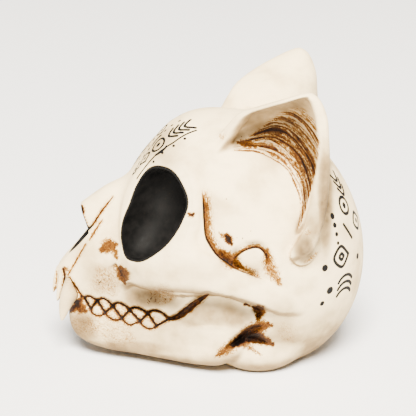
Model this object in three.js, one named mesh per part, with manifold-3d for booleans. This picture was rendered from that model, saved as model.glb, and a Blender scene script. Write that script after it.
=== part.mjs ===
// Cat skull figurine: a resin casting of a stylised cat skull with upright ears and closed
// jaws, resting on a small flat under the back of the head. It is divided along thin cuts
// into its anatomical pieces.
// Millimetres, +Z up, face toward -Y, the animal's left side toward +X.

import * as THREE from 'three';
import { mergeVertices } from 'three/addons/utils/BufferGeometryUtils.js';
import Module from 'manifold-3d';

const wasm = await Module();
wasm.setup();

// ---- driving dimensions ------------------------------------------------------------------

const GAP = 0.3;                 // width of the cuts between pieces

// Ellipsoids that shape the cranium, for the left side and the middle.
const BRAIN = { centre: [0, 18.9, 57.4], radii: [49, 55, 65.1], pitch: -22 };
const FOREHEAD = { centre: [0, -2.5, 86.5], radii: [31, 27, 34] };
const TEMPLE = { centre: [58, 9, 80], radii: [13, 17, 24] };
const UNDERCUT = { centre: [51, 2, 32], radii: [12, 28, 14] };
const BULLA = { centre: [22.5, 24, 11.5], radii: [15, 20, 12.5] };
const BASE = { centre: [0, 14, 16], radii: [30, 42, 18] };
const BROAD = 8;                 // how softly the forms of the head run into each other
const SOFT = 5;
const TIGHT = 3;
const CRANIUM_HEART = [0, 16, 58];
const FLAT_UNDERSIDE = 0;

// Eye socket: where it opens, which way it faces, its outline as angle and radius, its bowl.
const SOCKET = { centre: [28.4, -25.4, 79.8], turn: 47, lift: 22 };
const SOCKET_OUTLINE = [
  [-218, 17.0], [-180, 15.2], [-146, 20.4], [-121, 25.8], [-95, 24.4], [-60, 20.2], [-32, 18.9],
  [0, 20.0], [24, 22.3], [48, 21.8], [80, 22.2], [112, 21.2], [142, 17.0], [180, 15.2], [214, 20.4],
];
const SOCKET_DEPTH = 17;
const SOCKET_FLAT = 2.6;         // how square the bowl's profile is
const SOCKET_REACH = 16;         // how far the cut runs out in front of the opening
const ORBIT_RADII = [24, 29.5];  // outside of the ring of bone round the opening
const ORBIT_SHIFT = 2.5;         // the ring is thicker on its outer side
const LINING = 1.6;              // wall of the black lining in the socket and the nose

// Nasal opening at the end of the snout.
const NOSTRIL = { centre: [0, -64, 64.5], radii: [5.5, 10], depth: 13, pitch: 16 };

// Corner under the nasal bones, with the ends of the two edges that meet in it, as y and z.
const NOTCH = { corner: [-57.4, 62.3], tip: [-61.2, 74.5], sill: [-66.5, 52.8] };
const NOTCH_REACH = 3;           // how far the cut runs on past those ends, in edge lengths
const NOTCH_WIDTH = 40;

// Bars along Y. Each station is y, centre x, centre z, half width and half height.
const NOSE = [
  [-61.5, 0, 68.5, 6.5, 7],
  [-50, 0, 75, 8, 8.8],
  [-38, 0, 79, 11, 11.5],
  [-28, 0, 84, 15, 17],
  [-18, 0, 88, 18, 22],
];
const SNOUT = [
  [-73.5, 0, 40, 6, 5.5],
  [-68.5, 0, 39.5, 11, 11],
  [-60, 0, 43, 15, 16.5],
  [-50, 0, 47.5, 17.5, 21.5],
  [-40, 0, 49, 21, 24],
  [-28, 0, 51, 26, 27],
  [-14, 0, 53, 31, 29],
];
const CHEEK = [
  [-46, 15, 49, 4, 6],
  [-36, 23.5, 50.5, 7.5, 8],
  [-22, 36, 54.5, 8.5, 10],
  [-6, 44, 57, 8, 11],
  [11, 46.8, 52.6, 7, 9],
  [23, 46, 47.3, 6.5, 8],
  [35, 42.5, 42, 6, 7],
  [46, 36, 38, 5, 5],
];
const JAW = [
  [-68, 4, 20.5, 4.5, 8],
  [-60, 6.8, 19, 6.9, 11.5],
  [-50, 9.5, 17.5, 8, 12.8],
  [-36, 13.5, 16.2, 9, 12.2],
  [-20, 19.5, 15.4, 9.5, 12],
  [-5, 25.5, 15.5, 10, 12.2],
  [6, 29, 16.5, 10, 12],
  [17, 31, 19.5, 8.5, 9],
];
const RAMUS = { centre: [31, 7, 34], radii: [10, 19, 18], pitch: -10 };
const THROAT = { centre: [0, -28, 17], radii: [21, 36, 10] };
const KNOB = { centre: [43, 18.5, 61.5], radii: [8, 9.5, 10] };

// Teeth: y, x and z at the gum, then width along the jaw and height of the crown.
const UPPER_TEETH = [
  [-54.8, 14, 30.6, 6, 6.8],
  [-48.6, 15.8, 30, 7, 7.4],
  [-40.8, 18.4, 29.4, 8, 8.4],
  [-32.2, 21.4, 28.4, 8.6, 8.6],
  [-23.6, 24.6, 27.4, 8.6, 8.8],
];
const INCISORS = [
  [-71.9, 2.4, 37, 3.8, 6.5],
  [-70.2, 5.8, 36.5, 3.8, 9],
];
const TOOTH_ROOT = 4;            // how far a tooth's root stands in the jaw
const TOOTH_TIP = 0.5;           // radius of a worn tip
const LOWER_TEETH_INSET = 0.6;

// Fang: z, x, y, half width across and half length along the jaw.
const FANG = [
  [19.8, 12.0, -70.9, 0.4, 0.4],
  [22, 12.0, -70.3, 1.4, 1.6],
  [25.5, 12.0, -69.5, 2.2, 2.6],
  [29.5, 12.0, -68.2, 3.0, 3.7],
  [33, 12.0, -66.6, 3.6, 4.6],
  [38.3, 11.6, -67.0, 3.2, 2.6],
  [42, 11.0, -67.3, 1.5, 0.9],
];
const FANG_SIDES = 12;

// Ear: its front edge and rear rim as z, x, y, from the head up to the tip.
const EAR_FRONT = [
  [62, 42, 32],
  [85, 36, 14],
  [100, 28, 6.5],
  [112, 20.5, 4.8],
  [116, 21.5, 7],
  [122, 24.5, 10.6],
  [128.5, 29.5, 16],
  [134.5, 38, 27],
  [139, 43, 37.5],
  [142, 45, 44],
];
const EAR_REAR = [
  [60, 43, 41],
  [66, 45, 46.5],
  [76, 46, 50.5],
  [88, 46.5, 53],
  [104, 46, 54],
  [120, 45.6, 53.4],
  [131, 45.4, 52.2],
  [137, 45.4, 49.9],
  [142, 45.4, 46.5],
];
const EAR_SPAN = [63, 141.6];    // lowest and highest level of the ear's wall
const EAR_WALL = 2.4;            // half thickness of the wall
const EAR_RIM = 4;               // extra half thickness at the foot of the rear rim
const EAR_RIM_TOP = 120;         // level where that extra thickness has run out
const EAR_RIM_RUN = 50;          // height over which it does
const EAR_BOW = 13;              // how far the wall bows toward the midline
const EAR_CURL = 0.26;           // and at most this share of its width

// ---- fields: negative inside, near enough a distance to place a surface --------------------

const { clamp, degToRad, radToDeg, smoothstep } = THREE.MathUtils;

function ellipsoid({ centre, radii, pitch = 0 }) {
  const middle = new THREE.Vector3(...centre);
  const turn = new THREE.Matrix4().makeRotationX(degToRad(pitch));
  const scale = new THREE.Vector3(...radii);
  return (point) => {
    const q = point.clone().sub(middle).applyMatrix4(turn).divide(scale);
    const near = q.length();
    return near * (near - 1) / (q.divide(scale).length() + 1e-9);
  };
}

function blend(a, b, radius) {
  const h = clamp(0.5 + 0.5 * (b - a) / radius, 0, 1);
  return b + (a - b) * h - radius * h * (1 - h);
}

function carve(a, b, radius) {
  return -blend(-a, b, radius);
}

// Smooth curve through rows whose first number is the parameter.
function along(rows, t) {
  const last = rows.length - 1;
  const u = clamp(t, rows[0][0], rows[last][0]);
  let i = 0;
  while (i < last - 1 && u > rows[i + 1][0]) i += 1;
  const slope = (k, c) => {
    const a = rows[Math.max(k - 1, 0)];
    const b = rows[Math.min(k + 1, last)];
    return (b[c] - a[c]) / (b[0] - a[0]);
  };
  const step = rows[i + 1][0] - rows[i][0];
  const s = (u - rows[i][0]) / step;
  const rise = 3 * s ** 2 - 2 * s ** 3;
  return rows[0].slice(1).map((_, k) => {
    const c = k + 1;
    const leave = (s ** 3 - 2 * s ** 2 + s) * step * slope(i, c);
    const arrive = (s ** 3 - s ** 2) * step * slope(i + 1, c);
    return rows[i][c] * (1 - rise) + rows[i + 1][c] * rise + leave + arrive;
  });
}

// ---- solids --------------------------------------------------------------------------------

function solid(geometry) {
  geometry.deleteAttribute('normal');
  geometry.deleteAttribute('uv');
  const merged = mergeVertices(geometry, 1e-4);
  return new wasm.Manifold(new wasm.Mesh({
    numProp: 3,
    vertProperties: new Float32Array(merged.attributes.position.array),
    triVerts: new Uint32Array(merged.index.array),
  }));
}

// The same solid on the other side of the midline, its faces turned to keep facing out.
function mirrored(body) {
  const { vertProperties, triVerts } = body.getMesh();
  const geometry = new THREE.BufferGeometry();
  geometry.setAttribute('position', new THREE.BufferAttribute(vertProperties, 3));
  geometry.setIndex([...triVerts].reverse());
  geometry.scale(-1, 1, 1);
  return solid(geometry);
}

function bothSides(body) {
  return body.add(mirrored(body));
}

// Closed skin over a stack of rings, with a point at each end.
function skin(rings, start, end) {
  const count = rings[0].length;
  const at = (r, k) => 1 + r * count + (k % count);
  const finish = 1 + rings.length * count;
  const faces = [];
  for (let k = 0; k < count; k += 1) {
    faces.push(0, at(0, k), at(0, k + 1));
    for (let r = 0; r < rings.length - 1; r += 1) {
      faces.push(at(r, k), at(r + 1, k), at(r + 1, k + 1));
      faces.push(at(r, k), at(r + 1, k + 1), at(r, k + 1));
    }
    faces.push(finish, at(rings.length - 1, k + 1), at(rings.length - 1, k));
  }
  const geometry = new THREE.BufferGeometry().setFromPoints([start, ...rings.flat(), end]);
  geometry.setIndex(faces);
  return solid(geometry);
}

// A bar along Y with rounded ends. Its sections are ellipses, squared off by a power above 2.
function bar(stations, { grow = 0, sides = 20, steps = 14, over = 2.3, under = 2.3, cap = 5 }) {
  const y0 = stations[0][0] - grow;
  const y1 = stations[stations.length - 1][0] + grow;
  const rings = [];
  for (let i = 1; i < steps; i += 1) {
    const y = y0 + (y1 - y0) * (1 - Math.cos(Math.PI * i / steps)) / 2;
    const [x, z, halfWidth, halfHeight] = along(stations, y);
    const toEnd = Math.min(y - y0, y1 - y, cap);
    const full = Math.sqrt(1 - (1 - toEnd / cap) ** 2);
    const ring = [];
    for (let k = 0; k < sides; k += 1) {
      const c = Math.cos(2 * Math.PI * k / sides);
      const s = Math.sin(2 * Math.PI * k / sides);
      const power = s > 0 ? over : under;
      const r = full / (Math.abs(c) ** power + Math.abs(s) ** power) ** (1 / power);
      ring.push(new THREE.Vector3(x + (halfWidth + grow) * r * c, y, z + (halfHeight + grow) * r * s));
    }
    rings.push(ring);
  }
  const end = (y) => {
    const [x, z] = along(stations, y);
    return new THREE.Vector3(x, y, z);
  };
  return skin(rings, end(y0), end(y1));
}

function ball({ centre, radii, pitch = 0 }, grow = 0) {
  const geometry = new THREE.SphereGeometry(1, 14, 9);
  geometry.scale(radii[0] + grow, radii[1] + grow, radii[2] + grow);
  geometry.rotateX(-degToRad(pitch));
  geometry.translate(...centre);
  return solid(geometry);
}

// A tapering peg from one point to another.
function peg(from, to, radius, tipRadius, sides) {
  const a = new THREE.Vector3(...from);
  const b = new THREE.Vector3(...to);
  const length = a.distanceTo(b);
  const geometry = new THREE.CylinderGeometry(tipRadius, radius, length, sides);
  geometry.translate(0, length / 2, 0);
  const up = new THREE.Vector3(0, 1, 0);
  geometry.applyQuaternion(new THREE.Quaternion().setFromUnitVectors(up, b.sub(a).normalize()));
  geometry.translate(...from);
  return solid(geometry);
}

// A sphere whose points are pushed out from the heart onto a field's surface.
function wrap(field, heart, around, up) {
  const geometry = new THREE.SphereGeometry(1, around, up);
  geometry.rotateX(Math.PI / 2);
  geometry.deleteAttribute('normal');
  geometry.deleteAttribute('uv');
  const sphere = mergeVertices(geometry, 1e-4);
  const position = sphere.attributes.position;
  const middle = new THREE.Vector3(...heart);
  const ray = new THREE.Vector3();
  for (let i = 0; i < position.count; i += 1) {
    ray.fromBufferAttribute(position, i);
    let inside = 0;
    let outside = 110;
    for (let k = 0; k < 24; k += 1) {
      const r = (inside + outside) / 2;
      if (field(middle.clone().addScaledVector(ray, r)) < 0) inside = r;
      else outside = r;
    }
    ray.multiplyScalar(inside).add(middle);
    position.setXYZ(i, ray.x, ray.y, ray.z);
  }
  return solid(sphere);
}

// ---- eye socket and nose --------------------------------------------------------------------

// The socket's own frame: x across, y into the head, z up its length.
const socketFrame = new THREE.Matrix4()
  .makeTranslation(...SOCKET.centre)
  .multiply(new THREE.Matrix4().makeRotationZ(degToRad(SOCKET.turn)))
  .multiply(new THREE.Matrix4().makeRotationX(-degToRad(SOCKET.lift)));

// Bowl with a round-cornered profile, turned about its axis and drawn out to the outline.
function socketBowl(grow) {
  const profile = [new THREE.Vector2(0, -SOCKET_REACH), new THREE.Vector2(1, -SOCKET_REACH)];
  for (const angle of [0, 15, 35, 55, 75]) {
    const out = Math.cos(degToRad(angle)) ** (2 / SOCKET_FLAT);
    const deep = Math.sin(degToRad(angle)) ** (2 / SOCKET_FLAT);
    profile.push(new THREE.Vector2(out, deep * (SOCKET_DEPTH + grow)));
  }
  profile.push(new THREE.Vector2(0, SOCKET_DEPTH + grow));
  const geometry = new THREE.LatheGeometry(profile, 20);
  const position = geometry.attributes.position;
  for (let i = 0; i < position.count; i += 1) {
    const angle = Math.atan2(position.getZ(i), position.getX(i));
    const [radius] = along(SOCKET_OUTLINE, radToDeg(angle));
    position.setX(i, position.getX(i) * (radius + grow));
    position.setZ(i, position.getZ(i) * (radius + grow));
  }
  geometry.applyMatrix4(socketFrame);
  return solid(geometry);
}

// Ring of bone round the socket, rounded over at its front and narrowing into the head.
function orbit(grow) {
  const profile = [[0, -2], [0.86, -1.5], [0.96, 0.5], [1, 4], [0.92, 12], [0.6, 20], [0, 24]]
    .map(([out, deep]) => new THREE.Vector2(out, deep));
  const geometry = new THREE.LatheGeometry(profile, 24);
  geometry.scale(ORBIT_RADII[0] + grow, 1, ORBIT_RADII[1] + grow);
  geometry.translate(ORBIT_SHIFT, 0, 0);
  geometry.applyMatrix4(socketFrame);
  return solid(geometry);
}

function nostril(grow) {
  const geometry = new THREE.CylinderGeometry(1, 1, 2 * (NOSTRIL.depth + grow), 20);
  geometry.scale(NOSTRIL.radii[0] + grow, 1, NOSTRIL.radii[1] + grow);
  geometry.rotateX(degToRad(NOSTRIL.pitch));
  geometry.translate(...NOSTRIL.centre);
  return solid(geometry);
}

// The wedge cut away before the nasal opening, under the tip of the nasal bones.
function notch() {
  const [y, z] = NOTCH.corner;
  const past = ([endY, endZ]) => new THREE.Vector2(
    y + (endY - y) * NOTCH_REACH,
    z + (endZ - z) * NOTCH_REACH,
  );
  const side = new THREE.Shape([new THREE.Vector2(y, z), past(NOTCH.tip), past(NOTCH.sill)]);
  const geometry = new THREE.ExtrudeGeometry(side, { depth: NOTCH_WIDTH, bevelEnabled: false });
  geometry.translate(0, 0, -NOTCH_WIDTH / 2);
  geometry.applyMatrix4(new THREE.Matrix4().makeBasis(
    new THREE.Vector3(0, 1, 0),
    new THREE.Vector3(0, 0, 1),
    new THREE.Vector3(1, 0, 0),
  ));
  return solid(geometry);
}

// ---- the pieces, left side or middle ---------------------------------------------------------

function cranium(grow) {
  const brain = ellipsoid(BRAIN);
  const forehead = ellipsoid(FOREHEAD);
  const temple = ellipsoid(TEMPLE);
  const undercut = ellipsoid(UNDERCUT);
  const bulla = ellipsoid(BULLA);
  const base = ellipsoid(BASE);
  const toSocket = socketFrame.clone().invert();
  const field = (point) => {
    const p = point.clone();
    p.x = Math.abs(p.x);
    const beforeSocket = -p.clone().applyMatrix4(toSocket).y - 1.5;
    let d = carve(brain(p), -beforeSocket, BROAD);
    d = blend(d, forehead(p), BROAD);
    d = carve(d, temple(p), SOFT);
    d = carve(d, undercut(p), TIGHT);
    d = blend(d, bulla(p), SOFT);
    d = blend(d, base(p), SOFT);
    return Math.max(d, FLAT_UNDERSIDE - p.z) - grow;
  };
  return wrap(field, CRANIUM_HEART, 40, 28);
}

function snout(grow) {
  const maxilla = bar(SNOUT, { grow, sides: 20, steps: 9, over: 2, under: 4 });
  return maxilla.add(bar(NOSE, { grow, sides: 16, steps: 7, cap: 3 })).subtract(notch());
}

function cheek(grow) {
  return bar(CHEEK, { grow, sides: 12, steps: 12 }).add(orbit(grow));
}

function fang(grow) {
  const rings = FANG.map(([z, x, y, halfWidth, halfLength]) => {
    const ring = [];
    for (let k = 0; k < FANG_SIDES; k += 1) {
      const angle = 2 * Math.PI * k / FANG_SIDES;
      const out = (halfWidth + grow) * Math.cos(angle);
      const back = (halfLength + grow) * Math.sin(angle);
      ring.push(new THREE.Vector3(x + out, y - back, z));
    }
    return ring;
  });
  const end = ([z, x, y], step) => new THREE.Vector3(x, y, z + step);
  return skin(rings, end(FANG[0], -TOOTH_TIP - grow), end(FANG[FANG.length - 1], TOOTH_TIP + grow));
}

// direction is -1 for a tooth that points down and 1 for one that points up
function tooth([y, x, z, width, height], direction, grow = 0) {
  const from = [x, y, z - direction * TOOTH_ROOT];
  const to = [x, y, z + direction * (height + grow)];
  return peg(from, to, width / 2 + grow, TOOTH_TIP, 6);
}

function upperTeeth(grow) {
  const rows = [...UPPER_TEETH, ...INCISORS];
  return rows.map((row) => tooth(row, -1, grow)).reduce((a, b) => a.add(b));
}

// The lower teeth stand between the upper ones, a little nearer the midline.
function lowerTeeth() {
  const made = [];
  for (let i = 0; i < UPPER_TEETH.length - 1; i += 1) {
    const [y, x, z, width, height] = UPPER_TEETH[i].map((v, k) => (v + UPPER_TEETH[i + 1][k]) / 2);
    made.push(tooth([y, x - LOWER_TEETH_INSET, z - height, width, height], 1));
  }
  return made.reduce((a, b) => a.add(b));
}

// Each level is a bow from the front edge to the rear rim.
function ear() {
  const levels = 14;
  const steps = 11;
  const [low, high] = EAR_SPAN;
  const rings = [];
  for (let i = 0; i <= levels; i += 1) {
    const z = low + (high - low) * i / levels;
    const [frontX, frontY] = along(EAR_FRONT, z);
    const [rearX, rearY] = along(EAR_REAR, z);
    const length = Math.hypot(rearX - frontX, rearY - frontY);
    const alongX = (rearX - frontX) / length;
    const alongY = (rearY - frontY) / length;
    const bow = Math.min(EAR_BOW, EAR_CURL * length);
    const outer = [];
    const inner = [];
    for (let k = 0; k <= steps; k += 1) {
      const t = k / steps;
      const middle = -bow * (1 - (2 * t - 1) ** 2) ** 0.75;
      const thick = EAR_WALL + EAR_RIM * t ** 6 * smoothstep(EAR_RIM_TOP - z, 0, EAR_RIM_RUN);
      const x = frontX + alongX * length * t;
      const y = frontY + alongY * length * t;
      const back = middle - thick;
      const face = middle + thick;
      outer.push(new THREE.Vector3(x + alongY * back, y - alongX * back, z));
      inner.push(new THREE.Vector3(x + alongY * face, y - alongX * face, z));
    }
    rings.push([...outer, ...inner.reverse()]);
  }
  const middleOf = (ring) => ring.reduce((sum, p) => sum.add(p), new THREE.Vector3())
    .divideScalar(ring.length);
  return skin(rings, middleOf(rings[0]), middleOf(rings[levels]));
}

// ---- cutting the pieces apart ------------------------------------------------------------------

const socket = bothSides(socketBowl(LINING + GAP));
const nearCranium = cranium(2 * GAP);
const nearFangs = bothSides(fang(GAP));
const nearSnout = snout(GAP);
const nearCheeks = bothSides(cheek(GAP));
const mouth = bothSides(upperTeeth(GAP)).add(nearSnout);

const craniumBody = cranium(0).subtract(socket);

const snoutBody = bothSides(upperTeeth(0))
  .add(snout(0))
  .subtract(nearCranium)
  .subtract(socket)
  .subtract(nearFangs)
  .subtract(nostril(LINING + GAP));

const cheekBody = cheek(0).subtract(nearCranium).subtract(nearSnout).subtract(socket);

const jawBody = bothSides(bar(JAW, { sides: 14, steps: 10, over: 4 }).add(ball(RAMUS)).add(lowerTeeth()))
  .add(ball(THROAT))
  .subtract(nearCranium)
  .subtract(nearCheeks)
  .subtract(mouth)
  .subtract(nearFangs);

const knobBody = ball(KNOB).subtract(nearCranium).subtract(nearCheeks);
const earBody = ear().subtract(nearCranium);

const head = bothSides(cheek(0)).add(cranium(0)).add(snout(0));
const socketLining = socketBowl(LINING).subtract(socketBowl(0)).intersect(head);
const noseLining = nostril(LINING).subtract(nostril(0)).intersect(snout(0)).subtract(nearCranium);

// ---- the figurine ---------------------------------------------------------------------------------

const bone = new THREE.MeshStandardMaterial({ color: 0xf2ecdd, roughness: 0.6, metalness: 0 });
const enamel = new THREE.MeshStandardMaterial({ color: 0xf4ead2, roughness: 0.5, metalness: 0 });
const black = new THREE.MeshStandardMaterial({ color: 0x1e1c1b, roughness: 0.75, metalness: 0 });

function piece(name, body, material) {
  const { vertProperties, triVerts } = body.getMesh();
  const geometry = new THREE.BufferGeometry();
  geometry.setAttribute('position', new THREE.BufferAttribute(vertProperties, 3));
  geometry.setIndex(new THREE.BufferAttribute(triVerts, 1));
  geometry.computeVertexNormals();
  const made = new THREE.Mesh(geometry, material);
  made.name = name;
  return made;
}

const skull = new THREE.Group();
skull.add(piece('cranium', craniumBody, bone));
skull.add(piece('upper_jaw', snoutBody, bone));
skull.add(piece('lower_jaw', jawBody, bone));
skull.add(piece('nose_lining', noseLining, black));
const paired = [
  ['cheekbone', cheekBody, bone],
  ['jaw_knob', knobBody, bone],
  ['ear', earBody, bone],
  ['fang', fang(0), enamel],
  ['socket_lining', socketLining, black],
];
for (const [name, body, material] of paired) {
  skull.add(piece(`${name}_left`, body, material));
  skull.add(piece(`${name}_right`, mirrored(body), material));
}

export default skull;
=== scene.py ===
import math

import bpy
import numpy as np
import openvdb
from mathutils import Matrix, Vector


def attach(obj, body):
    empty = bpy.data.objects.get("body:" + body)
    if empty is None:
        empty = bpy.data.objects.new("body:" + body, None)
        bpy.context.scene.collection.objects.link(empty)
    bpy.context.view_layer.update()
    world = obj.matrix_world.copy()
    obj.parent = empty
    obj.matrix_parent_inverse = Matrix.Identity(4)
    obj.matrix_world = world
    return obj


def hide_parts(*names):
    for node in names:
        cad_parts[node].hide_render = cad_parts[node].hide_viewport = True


# Looks for the cat skull figurine: one bone skin with its relief, the painted eye sockets
# and nose, and the canine teeth. Shapes are fields in millimetres, negative inside, worked
# out for the animal's left side and mirrored. The face looks toward -Y, and the left side
# lies toward +X. A point p is a row of x, y and z, and every function takes many at once.

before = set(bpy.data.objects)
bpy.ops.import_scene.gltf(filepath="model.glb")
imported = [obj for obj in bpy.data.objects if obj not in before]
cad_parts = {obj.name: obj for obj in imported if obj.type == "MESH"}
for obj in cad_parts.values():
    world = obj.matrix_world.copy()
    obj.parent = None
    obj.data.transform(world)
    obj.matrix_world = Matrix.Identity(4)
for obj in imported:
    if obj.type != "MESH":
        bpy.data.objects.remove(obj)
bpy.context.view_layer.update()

MM = 0.001
VOXEL = 0.5
CANINE_VOXEL = 0.25

# ---- camera, in millimetres --------------------------------------------------------------------

VIEW_TARGET = np.array([0.0, 0.0, 73.0])
VIEW_DISTANCE = 850.0
VIEW_ELEVATION = math.radians(18)
VIEW_WIDTH = 200.6               # width of the picture at the target
SENSOR = 36.0

VIEW_BACK = np.array([math.cos(VIEW_ELEVATION), 0.0, math.sin(VIEW_ELEVATION)])
VIEW_UP = np.array([-math.sin(VIEW_ELEVATION), 0.0, math.cos(VIEW_ELEVATION)])


def add_camera():
    data = bpy.data.cameras.new("camera")
    data.sensor_width = SENSOR
    data.lens = SENSOR * VIEW_DISTANCE / VIEW_WIDTH
    camera = bpy.data.objects.new("camera", data)
    bpy.context.scene.collection.objects.link(camera)
    camera.location = (VIEW_TARGET + VIEW_BACK * VIEW_DISTANCE) * MM
    camera.rotation_euler = Vector(VIEW_BACK).to_track_quat("Z", "Y").to_euler()
    bpy.context.scene.camera = camera


# ---- forms -------------------------------------------------------------------------------------

# Ellipsoids, with their pitch about X in degrees: the braincase and the forehead, the hollows
# at the temple and under the cheekbone, the bulge behind the jaw and the base it rests on, the
# rear of the jaw and the floor between its sides, and the knob of the jaw joint.
BRAIN = dict(centre=(0, 18.9, 57.4), radii=(49, 55, 65.1), pitch=-22)
FOREHEAD = dict(centre=(0, -2.5, 86.5), radii=(31, 27, 34))
TEMPLE = dict(centre=(58, 9, 80), radii=(13, 17, 24))
UNDERCUT = dict(centre=(51, 2, 32), radii=(12, 28, 14))
BULLA = dict(centre=(22.5, 24, 11.5), radii=(15, 20, 12.5))
BASE = dict(centre=(0, 14, 16), radii=(30, 42, 18))
RAMUS = dict(centre=(31, 7, 34), radii=(10, 19, 18), pitch=-10)
THROAT = dict(centre=(0, -28, 17), radii=(21, 36, 10))
KNOB = dict(centre=(43, 18.5, 61.5), radii=(8, 9.5, 10))

# Bars along Y: y, centre x, centre z, half width and half height.
NOSE = [
    (-61.5, 0, 68.5, 6.5, 7),
    (-50, 0, 75, 8, 8.8),
    (-38, 0, 79, 11, 11.5),
    (-28, 0, 84, 15, 17),
    (-18, 0, 88, 18, 22),
]
SNOUT = [
    (-73.5, 0, 40, 6, 5.5),
    (-68.5, 0, 39.5, 11, 11),
    (-60, 0, 43, 15, 16.5),
    (-50, 0, 47.5, 17.5, 21.5),
    (-40, 0, 49, 21, 24),
    (-28, 0, 51, 26, 27),
    (-14, 0, 53, 31, 29),
]
CHEEK = [
    (-46, 15, 49, 4, 6),
    (-36, 23.5, 50.5, 7.5, 8),
    (-22, 36, 54.5, 8.5, 10),
    (-6, 44, 57, 8, 11),
    (11, 46.8, 52.6, 7, 9),
    (23, 46, 47.3, 6.5, 8),
    (35, 42.5, 42, 6, 7),
    (46, 36, 38, 5, 5),
]
JAW = [
    (-68, 4, 20.5, 4.5, 8),
    (-60, 6.8, 19, 6.9, 11.5),
    (-50, 9.5, 17.5, 8, 12.8),
    (-36, 13.5, 16.2, 9, 12.2),
    (-20, 19.5, 15.4, 9.5, 12),
    (-5, 25.5, 15.5, 10, 12.2),
    (6, 29, 16.5, 10, 12),
    (17, 31, 19.5, 8.5, 9),
]

# Ear: its front edge and rear rim as z, x, y, and the radii of the rim and of the lip along
# the front edge, by z.
EAR_FRONT = [
    (62, 42, 32),
    (85, 36, 14),
    (100, 28, 6.5),
    (112, 20.5, 4.8),
    (116, 21.5, 7),
    (122, 24.5, 10.6),
    (128.5, 29.5, 16),
    (134.5, 38, 27),
    (139, 43, 37.5),
    (142, 45, 44),
]
EAR_REAR = [
    (60, 43, 41),
    (66, 45, 46.5),
    (76, 46, 50.5),
    (88, 46.5, 53),
    (104, 46, 54),
    (120, 45.6, 53.4),
    (131, 45.4, 52.2),
    (137, 45.4, 49.9),
    (142, 45.4, 46.5),
]
EAR_RIM = [(60, 5.5), (70, 5), (85, 3.8), (104, 3), (125, 2.4), (142, 2.2)]
EAR_LIP = [(62, 2.5), (100, 3), (115, 3.4), (128, 3), (138, 2.4), (142, 2.2)]
EAR_SPAN = (63, 141.6)           # lowest and highest z
EAR_WALL = 2.2                   # half its thickness
EAR_BOW = 13                     # how far it bows out of its chord,
EAR_CURL = 0.26                  # or this share of the chord where that is less

# Eye socket: its frame looks out of the head; its outline is angle and radius in that frame,
# with a row more at both ends, so that the curve closes smoothly.
SOCKET_CENTRE = (28.4, -25.4, 79.8)
SOCKET_TURN = 47
SOCKET_LIFT = 22
SOCKET_OUTLINE = [
    (-218, 17.0), (-180, 15.2), (-146, 20.4), (-121, 25.8), (-95, 24.4), (-60, 20.2), (-32, 18.9),
    (0, 20.0), (24, 22.3), (48, 21.8), (80, 22.2), (112, 21.2), (142, 17.0), (180, 15.2), (214, 20.4),
]
SOCKET_DEPTH = 17
SOCKET_FLAT = 2.6                # how square the bowl's profile is
# The ring of bone round it: radii, shift along the frame, and how its size changes with depth.
ORBIT_RADII = (24, 29.5)
ORBIT_SHIFT = 2.5
ORBIT_REACH = [(-2, 0.8), (-1, 0.9), (0.5, 0.96), (4, 1), (12, 0.92), (20, 0.6), (24, 0)]
NOTCH = (-57.4, 62.3)            # y and z of the corner under the nasal bones
NOTCH_TIP = (-61.2, 74.5)
NOTCH_SILL = (-66.5, 52.0)
NOSTRIL = dict(centre=(0, -64, 62.5), radii=(6.0, 10.8), depth=14.6, pitch=16)
OPENING_EDGE = 0.6               # rounding of the edges of socket and nose
PAINT = 1.2                      # thickness of the black linings
PAINT_GAP = 0.1                  # between them and the bone
PAINT_INSET = 0.2                # how far their edges stay below its surface

# Canine tooth: z, x, y, half width across and half length along the jaw.
CANINE = [
    (19.3, 12.0, -70.9, 0.4, 0.4),
    (22, 12.0, -70.3, 1.4, 1.6),
    (25.5, 12.0, -69.5, 2.2, 2.6),
    (29.5, 12.0, -68.2, 3.0, 3.7),
    (33, 12.0, -66.6, 3.6, 4.6),
    (38.3, 11.6, -67.0, 3.2, 2.6),
    (42, 11.0, -67.3, 1.5, 0.9),
]
# Incisor teeth: root, tip and radius.
INCISORS = [
    ((2.2, -72.2, 41), (2.2, -75.4, 31), 2.2),
    ((6.0, -70.0, 40), (6.2, -73.2, 28), 2.3),
]


def turned(p, axis, degrees):
    """Points turned about X (axis 0) or Z (axis 2)."""
    c, s = math.cos(math.radians(degrees)), math.sin(math.radians(degrees))
    a, b = (1, 2) if axis == 0 else (0, 1)
    q = p.copy()
    q[:, a] = c * p[:, a] - s * p[:, b]
    q[:, b] = s * p[:, a] + c * p[:, b]
    return q


def ellipsoid(p, centre, radii, pitch=0):
    """About the distance to an ellipsoid."""
    q = turned(p - np.array(centre), 0, pitch) / np.array(radii)
    near = np.linalg.norm(q, axis=1)
    return near * (near - 1) / (np.linalg.norm(q / np.array(radii), axis=1) + 1e-9)


def blend(a, b, radius):
    """Two shapes as one, with a fillet of this radius where they meet."""
    h = np.clip(0.5 + 0.5 * (b - a) / radius, 0, 1)
    return b + (a - b) * h - radius * h * (1 - h)


def carve(a, b, radius):
    """The first shape without the second, with an edge rounded to this radius."""
    return -blend(-a, b, radius)


def ramp(value, start, end):
    """Smoothly from 0 at the start to 1 at the end."""
    t = np.clip((value - start) / (end - start), 0, 1)
    return t * t * (3 - 2 * t)


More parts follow.
